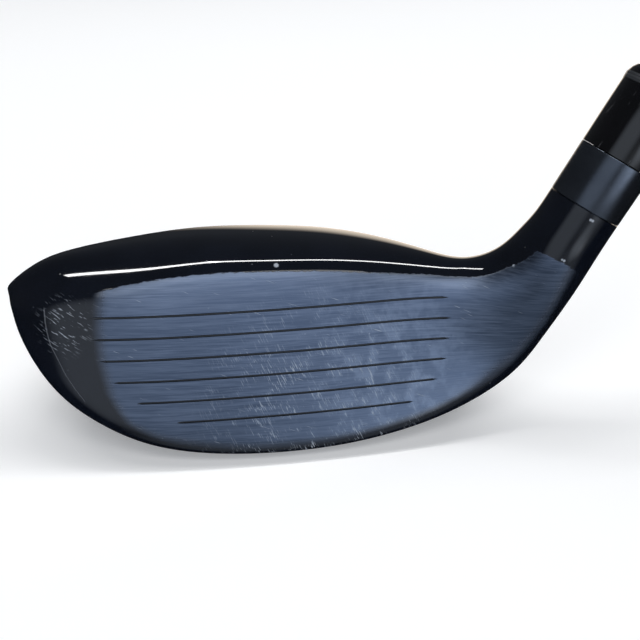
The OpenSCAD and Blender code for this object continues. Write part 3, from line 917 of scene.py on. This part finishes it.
def region_fields():
    """Signed distances in millimetres to the edges of the finish, at each point of the grid."""
    wrapped = np.where(grid_f < 9.5, grid_f, grid_f - RING)
    per_f = np.linalg.norm(np.roll(outer_grid, -1, 1) - np.roll(outer_grid, 1, 1), axis=-1) * FINE / 2
    per_s = np.linalg.norm(np.gradient(outer_grid, axis=0), axis=-1) * FINE
    fields = {
        "brush_top": (along_line(BRUSH_TOP, grid_s) - wrapped) * per_f,
        "brush_low": (wrapped - along_line(BRUSH_LOW, grid_s)) * per_f,
        "brush_toe": (grid_s - along_line(BRUSH_TOE, wrapped)) * per_s,
        "brush_end": (along_line(BRUSH_END, wrapped) - grid_s) * per_s,
        "toe_line": (grid_s - along_line(TOE_LINE, wrapped)) * per_s,
    }
    fields = {name: np.clip(field, -6, 6) for name, field in fields.items()}
    fields["toe_line_on"] = np.clip(np.minimum(wrapped - 0.3, 3.95 - wrapped) * 8, 0, 1)
    return fields


skin_points = outer_grid.reshape(-1, 3) * MM
skin_normals = outer_normals.reshape(-1, 3)
skin_fields = {name: field.reshape(-1) for name, field in region_fields().items()}


def skin_triangles():
    i, j = np.meshgrid(np.arange(ROWS), np.arange(AROUND), indexing="ij")
    a, b = i * AROUND + j, (i + 1) * AROUND + j
    c, d = (i + 1) * AROUND + (j + 1) % AROUND, i * AROUND + (j + 1) % AROUND
    return np.concatenate([np.stack([a, b, c], -1).reshape(-1, 3), np.stack([a, c, d], -1).reshape(-1, 3)])


triangles = skin_triangles()
skin_tree = BVHTree.FromPolygons(skin_points.tolist(), triangles.tolist())


def on_skin(points):
    """Nearest places on the outer skin: three corners, their shares, and the distance."""
    corners = np.zeros((len(points), 3), int)
    nearest = np.zeros((len(points), 3))
    gap = np.zeros(len(points))
    for k, point in enumerate(points):
        place, _, index, distance = skin_tree.find_nearest(Vector(point))
        corners[k], nearest[k], gap[k] = triangles[index], place, distance
    a, b, c = (skin_points[corners[:, n]] for n in range(3))
    u, v, w = b - a, c - a, nearest - a
    uu, uv, vv = (u * u).sum(1), (u * v).sum(1), (v * v).sum(1)
    wu, wv = (w * u).sum(1), (w * v).sum(1)
    scale = np.maximum(uu * vv - uv * uv, 1e-30)
    share_b = (vv * wu - uv * wv) / scale
    share_c = (uu * wv - uv * wu) / scale
    return corners, np.stack([1 - share_b - share_c, share_b, share_c], 1), gap


def read(items, name, width=1, kind=float):
    """A property of all of a mesh's items, as an array."""
    values = np.zeros(len(items) * width, kind)
    items.foreach_get(name, values)
    return values.reshape(-1, width) if width > 1 else values


def finish_skin(thing, skin_angle=math.radians(25), near=0.02 * MM):
    """Gives a head piece the region fields, and the smooth skin's own normals where it lies on it."""
    mesh = thing.data
    smooth(thing)
    corners, shares, gap = on_skin(read(mesh.vertices, "co", 3))
    for name, field in skin_fields.items():
        values = (field[corners] * shares).sum(1)
        mesh.attributes.new(name, "FLOAT", "POINT").data.foreach_set("value", values)
    mesh.attributes.new("below", "FLOAT", "POINT").data.foreach_set("value", gap / MM)
    normals = (skin_normals[corners] * shares[..., None]).sum(1)
    normals /= np.linalg.norm(normals, axis=1, keepdims=True)
    loops = read(mesh.loops, "vertex_index", kind=int)
    split = read(mesh.corner_normals, "vector", 3)
    sizes = read(mesh.polygons, "loop_total", kind=int)
    flat_normals = np.repeat(read(mesh.polygons, "normal", 3), sizes, axis=0)
    facing = (flat_normals * normals[loops]).sum(1) > math.cos(skin_angle)
    use = facing & (gap[loops] < near)
    split[use] = normals[loops][use]
    mesh.normals_split_custom_set(split.tolist())


def make_head():
    shell = mesh_object("head_shell", *shell_mesh(), triangles=True)
    face = mesh_object("face_insert", *plate_mesh(FACE_REGION), triangles=True)
    crown = mesh_object("crown_skin", *plate_mesh(CROWN_REGION), triangles=True)
    for cutter in (hosel_cutter(), weight_cutter()):
        cut(shell, cutter)
        remove(cutter)
    for line in SCORE_LINES:
        cutter = score_cutter(*line)
        cut(face, cutter)
        cut(shell, cutter)
        remove(cutter)
    for thing in (shell, face, crown):
        finish_skin(thing)
    piece(shell, "head", "head_body", "head_black", head_finish("head_paint_and_brushing"))
    piece(face, "head", "face_plate", "face_brushed", head_finish("face_brushing"))
    piece(crown, "head", "crown_plate", "crown_gloss", crown_finish())


def make_pad():
    """A drop of hot-melt glue on the floor of the hollow."""
    low, high = (Vector(c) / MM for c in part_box("damping_pad"))
    centre = (low + high) / 2
    r, h = (high.x - low.x) / 2, high.z - low.z
    lump = 0.03
    profile = rounded([(0, 0), (r, 0, 0.2), (r * 0.95, h * 0.4, 0.5), (r * 0.75, h * 0.72, 0.8),
                       (r * 0.4, h * 0.93, 0.5), (0, h)])

    def lumpy(radius, z, angle):
        return radius * (1 - lump + lump * math.sin(3 * angle + 1) * math.cos(5 * angle))

    place = Matrix.Translation(Vector((centre.x, centre.y, low.z)) * MM)
    glue = resin("hot_melt", (0.52, 0.42, 0.20), (0.66, 0.56, 0.30))
    turned_piece("damping_drop", dense(profile, 0.6), ("head", "damping_pad", "glue"), glue,
                 lumpy, 48, place)


# ------------------------------------------------------------ weight and screws
def make_weight():
    low, high = weight_sink, weight_sink + weight_height
    hole, recess = 2.2, 3.9
    profile = rounded([(hole, high, 0.1), (hole, low + 2.6, 0.1), (recess, low + 2.6, 0.1),
                       (recess, low, 0.25), (4.5, low, 0.1), (4.6, low + 0.18, 0.1),
                       (5.0, low + 0.18, 0.1), (5.1, low, 0.1), (weight_r, low, 0.35),
                       (weight_r, high, 0.2)])
    steel = turned_metal("satin_weight_steel", (0.24, 0.245, 0.26), (0.38, 0.385, 0.40), 0.30)
    turned_piece("weight_disc", profile, ("weight", "sole_weight", "weight_steel"), steel,
                 place=WEIGHT_PLACE)

    shank, head_r, socket = weight_screw_r, weight_screw_head_r, 1.7
    head_low, head_high, tip = low + 0.3, low + 2.5, weight_height + 6.7
    head = rounded([(socket, head_low + 1.6), (socket, head_low), (head_r, head_low, 0.35),
                    (head_r, head_high, 0.15), (shank, head_high, 0)])
    profile = [(0, head_low + 1.6)] + head + [(shank, tip - 0.5), (shank - 0.5, tip), (0, tip)]
    profile = dense(profile, 0.12, head_high + 0.2, tip - 0.4)
    shape = both(lobes(socket), thread(shank, 0.7, 0.38, head_high + 0.3, tip - 0.5))
    black = turned_metal("black_oxide", (0.022, 0.022, 0.026), (0.05, 0.05, 0.056), 0.34, mark=0.5)
    turned_piece("weight_fixing_screw", profile, ("weight_fixing", "weight_screw", "screw_dark"), black,
                 shape, 60, WEIGHT_PLACE)


def make_hosel_hardware():
    under = seat - washer_height
    head_low = under - screw_head_height
    socket, tip = 2.2, screw_tip
    head = rounded([(socket, under - 1), (socket, head_low, 0), (screw_head_r, head_low, 0.4),
                    (screw_head_r, under, 0.15), (screw_r, under, 0)])
    profile = [(0, under - 1)] + head + [(screw_r, tip - 0.6), (screw_r - 0.7, tip), (0, tip)]
    profile = dense(profile, 0.13, under + 1.6, tip - 0.5)
    shape = both(lobes(socket), thread(screw_r, 0.8, 0.43, under + 1.8, tip - 0.6))
    plated = turned_metal("plated_steel", (0.36, 0.37, 0.39), (0.52, 0.53, 0.55), 0.26)
    turned_piece("sleeve_screw", profile, ("screw", "hosel_screw", "screw_steel"), plated, shape, 60)

    low, hole = under + 0.05, screw_r + 0.1
    washer = rounded([(hole, low, 0.1), (screw_head_r, low, 0.15), (screw_head_r, seat, 0.1),
                      (hole, seat, 0.1)])
    steel = turned_metal("washer_steel", (0.44, 0.45, 0.46), (0.58, 0.59, 0.60), 0.30)
    turned_piece("flat_washer", washer, ("head", "screw_washer", "screw_steel"), steel, segments=64)

    low, high, clip_r = web_top + 0.1, web_top + 1, 3.7
    clip = rounded([(screw_r, low, 0.1), (clip_r, low, 0.2), (clip_r, high, 0.2), (screw_r, high, 0.1)])
    nylon = gloss_plastic("moulded_nylon", (0.012, 0.012, 0.014), (0.03, 0.03, 0.032), 0.4)
    turned_piece("retaining_ring", clip, ("screw", "screw_retainer", "retainer"), nylon, segments=64)


# ------------------------------------------------------------ sleeve, ferrule and shaft
def make_sleeve():
    bore, thread_r = tip_r + 0.1, screw_r + 0.03
    foot, neck, teeth = web_top + 1.3, sleeve_bore_r - 0.05, tooth_tip - 0.1
    teeth_top, collar_foot, top = spline_top + 0.1, hosel_top + 0.1, collar_top - 0.05
    profile = rounded([(thread_r, foot, 0.1), (teeth, foot, 0), (teeth, teeth_top, 0),
                       (neck, teeth_top, 0.15), (neck, collar_foot, 0), (hosel_r, collar_foot, 0.22),
                       (hosel_r, top, 0.25), (bore, top, 0.1), (bore, shaft_tip, 0),
                       (thread_r, shaft_tip, 0)])
    grey = anodised("anodised_sleeve", (0.060, 0.070, 0.088), (0.070, 0.081, 0.10))
    turned_piece("adapter_sleeve", dense(profile, 0.5, foot, spline_top),
                 ("shaft_assembly", "loft_sleeve", "sleeve_grey"), grey, toothed(teeth), 128)


def make_ferrule():
    bore, seat_r = tip_r + 0.03, 6.0
    profile = rounded([(bore, collar_top, 0), (hosel_r, collar_top, 0.12),
                       (hosel_r, mix(collar_top, ring_bottom, 0.55), 4), (ring_r, ring_bottom, 0.06),
                       (seat_r, ring_bottom, 0), (seat_r, ring_top, 0), (ring_r - 0.05, ring_top, 0.08),
                       (ring_r - 0.35, ring_top + 0.9, 0.5), (ring_r - 0.9, ferrule_top - 0.35, 0.3),
                       (tip_r + 0.3, ferrule_top, 0.1), (bore, ferrule_top, 0)], 6)
    acetate = gloss_plastic("polished_acetate", (0.001, 0.001, 0.0015), (0.002, 0.002, 0.003), 0.07)
    turned_piece("polished_ferrule", profile, ("shaft_assembly", "ferrule", "ferrule_black"), acetate,
                 segments=128)

    out = ring_r + 0.05
    band = rounded([(seat_r, ring_bottom, 0), (out, ring_bottom, 0.2), (out, ring_top, 0.2),
                    (seat_r, ring_top, 0)])
    silver = turned_metal("trim_ring_silver", (0.30, 0.31, 0.33), (0.45, 0.46, 0.48), 0.24)
    turned_piece("trim_ring", band, ("shaft_assembly", "ferrule_ring", "ring_silver"), silver,
                 segments=128)


def make_shaft():
    out = tip_r + 0.1
    bond = [(tip_r, shaft_tip), (out, shaft_tip), (out, collar_top), (tip_r, collar_top)]
    epoxy = resin("cured_epoxy", (0.55, 0.50, 0.32), (0.66, 0.61, 0.42))
    turned_piece("epoxy_layer", dense(bond, 3), ("shaft_assembly", "tip_bond", "epoxy"), epoxy,
                 segments=64)

    inner, low, high = tip_r - tip_wall, shaft_tip + 1, shaft_tip + 16
    plug = rounded([(0, low), (inner, low, 0.3), (inner, high, 0.3), (0, high)])
    brass = turned_metal("turned_brass", (0.50, 0.34, 0.12), (0.66, 0.47, 0.19), 0.25)
    turned_piece("swing_weight_plug", plug, ("shaft_assembly", "tip_plug", "brass"), brass, segments=48)

    taper_start, taper_end = ferrule_top + 4, grip_mouth - 10
    butt_inner = butt_r - butt_wall
    profile = rounded([(inner, shaft_tip, 0.2), (tip_r, shaft_tip, 0.2), (tip_r, taper_start, 0),
                       (butt_r, taper_end, 0), (butt_r, shaft_top, 0.2), (butt_inner, shaft_top, 0.2),
                       (butt_inner, taper_end, 0), (inner, taper_start, 0)])
    turned_piece("tapered_shaft", dense(profile, 25), ("shaft_assembly", "shaft", "shaft_graphite"),
                 graphite())


# ------------------------------------------------------------ grip
tread_pitch, tread_depth, tread_width = 3.6, 0.45, 0.9
tread_low, tread_high = grip_mouth + 14, grip_top - 12
tread_columns, tread_fade, tread_from_r = 20, 1.5, grip_mouth_r - 0.9


def grip_shape(r, z, angle):
    """A diamond tread of shallow grooves, with plain bands at the mouth and near the butt."""
    if r < tread_from_r or not tread_low < z < tread_high:
        return r
    fade = min(1, (z - tread_low) / tread_fade, (tread_high - z) / tread_fade)
    deepest = 0
    for way in (-1, 1):
        turn = (z / (2 * tread_pitch) + way * angle / (2 * math.pi) * tread_columns) % 1
        gap = abs(turn - 0.5) * 2 * tread_pitch
        deepest = max(deepest, 1 - min(1, gap / tread_width) ** 2)
    return r - tread_depth * fade * deepest


def make_grip():
    bore, mouth, top = butt_r + tape_thickness, grip_mouth, grip_top
    low, high = mouth + 6, shaft_top - 1
    tape = [(butt_r, low), (bore, low), (bore, high), (butt_r, high)]
    turned_piece("grip_tape_layer", dense(tape, 12), ("shaft_assembly", "grip_tape", "tape"),
                 paper_tape(), segments=64)

    band_r, waist_r, rim = grip_mouth_r, grip_mouth_r - 0.35, grip_butt_r
    profile = rounded([(bore, mouth, 0.2), (band_r, mouth, 0.8), (band_r, mouth + 4, 0.3),
                       (waist_r, mouth + 4.6, 0.2), (waist_r, mouth + 5.6, 0.2),
                       (band_r + 0.05, mouth + 6.2, 0.3), (band_r + 0.2, mouth + 40, 0),
                       (rim - 0.6, top - 60, 0), (rim, top, 0), (bore, top, 0)])
    profile = dense(profile, 0.85, tread_low - 1, tread_high + 1, bore + 0.5)
    turned_piece("rubber_grip", profile, ("shaft_assembly", "grip", "grip_rubber"),
                 rubber("moulded_rubber", (0.020, 0.020, 0.022), (0.036, 0.036, 0.039)),
                 grip_shape, 120, angle=math.radians(50))

    profile = rounded([(vent_r, top - 1.8, 0.1), (butt_r, top - 1.8, 0.1), (butt_r, top, 0),
                       (rim + 0.6, top, 0), (rim + 1, top + 0.8, 0.5), (rim + 0.8, top + 1.8, 0.5),
                       (rim - 1.2, top + 3.1, 1.2), (9.6, top + 3.6, 0.2), (9.3, top + 3.25, 0.15),
                       (8.9, top + 3.25, 0.15), (8.6, top + 3.75, 0.2), (vent_r + 0.5, top + 4, 0.1),
                       (vent_r, top + 3.6, 0.2)])
    turned_piece("butt_cap", profile, ("shaft_assembly", "grip_cap", "cap_rubber"),
                 rubber("cap_moulding", (0.024, 0.024, 0.026), (0.042, 0.042, 0.045), 900.0),
                 segments=128)


# ------------------------------------------------------------ stage, light and camera
def make_stage():
    """A pale floor that reaches far past every view, and a pale wall far behind it."""
    size, steps = 12000, 12
    row = steps + 1
    vertices = [(size * (i / steps - 0.5), size * (j / steps - 0.5), 0)
                for i in range(row) for j in range(row)]
    faces = [[i * row + j, (i + 1) * row + j, (i + 1) * row + j + 1, i * row + j + 1]
             for i in range(steps) for j in range(steps)]
    floor = mesh_object("floor", vertices, faces)
    nodes = Nodes("pale_floor")
    cloud = nodes.noise(nodes.place, 3, 2.0)
    base = nodes.blend(cloud, colour(0.86, 0.86, 0.86), colour(0.89, 0.89, 0.89))
    nodes.set(Base_Color=base, Roughness=0.9)
    # painted light: the floor glows, faintly near the club and almost fully far out, which lifts its shadows
    # and whitens it in the distance
    near, far, dim, bright = 0.7, 5.0, 0.26, 0.97
    glow = nodes.span(nodes.distance((0, 0, 0)), near, far, dim, bright)
    nodes.set(Specular_IOR_Level=0.1, Emission_Color=colour(1, 1, 1), Emission_Strength=glow)
    floor.data.materials.append(nodes.material)
    floor.visible_glossy = False

    # the wall neither lights the club nor shows in its gloss
    reach, height, count = 5900, 6000, 64
    angles = [2 * math.pi * k / count for k in range(count)]
    vertices = [(reach * math.cos(a), reach * math.sin(a), z) for z in (-1, height) for a in angles]
    faces = [[k, (k + 1) % count, count + (k + 1) % count, count + k] for k in range(count)]
    faces.append([count + k for k in range(count)])
    backdrop = mesh_object("backdrop", vertices, faces)
    nodes = Nodes("pale_wall")
    glow = nodes.blend(nodes.noise(nodes.place, 2, 2.0), colour(0.95, 0.95, 0.95), colour(0.98, 0.98, 0.98))
    nodes.set(Base_Color=colour(0, 0, 0), Specular_IOR_Level=0.0, Emission_Strength=1.0)
    nodes.set(Emission_Color=glow)
    backdrop.data.materials.append(nodes.material)
    backdrop.visible_glossy = backdrop.visible_diffuse = backdrop.visible_shadow = False


def softbox(name, place, aim, width, height, radiance, spin=0.0):
    """An area light whose face has the given brightness, turned about its own axis by spin degrees."""
    lamp = bpy.data.lights.new(name, "AREA")
    lamp.shape, lamp.size, lamp.size_y = "RECTANGLE", width, height
    lamp.energy = radiance * math.pi * width * height
    thing = bpy.data.objects.new(name, lamp)
    thing.location = place
    thing.rotation_mode = "QUATERNION"
    facing = (Vector(aim) - Vector(place)).to_track_quat("-Z", "Y")
    thing.rotation_quaternion = facing @ Quaternion((0, 0, 1), math.radians(spin))
    bpy.context.scene.collection.objects.link(thing)


# Soft lights of the room: direction, cosines at the rim and at the core, brightness and colour.
ROOM = [((0.05, -0.86, 0.52), 0.925, 0.995, 1.40, (0.82, 0.93, 1.12)),
        ((-0.48, -0.83, 0.24), 0.86, 0.98, 0.75, (0.84, 0.94, 1.08)),
        ((0.40, -0.91, 0.04), 0.925, 0.99, 1.50, (0.84, 0.94, 1.08)),
        ((0.10, -0.83, -0.45), 0.76, 0.96, 0.42, (0.86, 0.95, 1.06)),
        ((0.56, -0.82, -0.11), 0.965, 0.995, 1.10, (0.88, 0.96, 1.06)),
        ((0.30, 0.92, -0.16), 0.93, 0.985, 1.20, (1.0, 0.86, 0.70))]


def make_world():
    """A dim room with a few soft bright places."""
    world = bpy.data.worlds.new("studio")
    world.use_nodes = True
    graph = Graph(world.node_tree)
    ray = graph.add("TexCoord").outputs["Generated"]
    height = graph.add("SeparateXYZ", {0: ray}).outputs["Z"]
    inputs = {"Value": height, "From Min": -0.35, "From Max": 0.25, "To Min": 0.01, "To Max": 0.07}
    dim = graph.add("MapRange", inputs).outputs[0]
    total = graph.vector("SCALE", {0: (0.90, 0.97, 1.06), "Scale": dim})
    for direction, rim, core, strength, tint in ROOM:
        towards = graph.vector("DOT_PRODUCT", {0: ray, 1: Vector(direction).normalized()}, "Value")
        share = graph.span(towards, rim, core)
        glow = graph.vector("SCALE", {0: [c * strength for c in tint], "Scale": share})
        total = graph.vector("ADD", {0: total, 1: glow})
    graph.put(world.node_tree.nodes["Background"].inputs["Color"], total)
    bpy.context.scene.world = world


def make_light():
    """Two strips overhead draw the line along the topline; a broad box in front lights the floor."""
    softbox("strip_toe", (-0.62, 0.16, 2.2), (-0.62, 0.10, 0), 1.2, 0.10, 30, 27)
    softbox("strip_heel", (1.2, 0.50, 2.2), (1.2, 0.40, 0), 2.7, 0.12, 28, 3)
    softbox("front_wide", (-0.2, -2.4, 3.2), (0, 0, 0), 3.0, 1.2, 3.6)
    make_world()


def make_camera():
    """Close in front of the toe side of the face, looking down at the head."""
    place, down, right = (-13.1, -150.6, 95.0), 25.53, 8.27
    camera = bpy.data.cameras.new("camera")
    camera.lens, camera.sensor_width = 48.67, 36
    camera.clip_start, camera.clip_end = 0.005, 50
    thing = bpy.data.objects.new("camera", camera)
    thing.location = Vector(place) * MM
    thing.rotation_euler = (math.radians(90 - down), 0, math.radians(-right))
    bpy.context.scene.collection.objects.link(thing)
    bpy.context.scene.camera = thing


make_head()
make_pad()
make_weight()
make_hosel_hardware()
make_sleeve()
make_ferrule()
make_shaft()
make_grip()
make_stage()
make_light()
make_camera()
bpy.context.scene.view_settings.view_transform = "Standard"
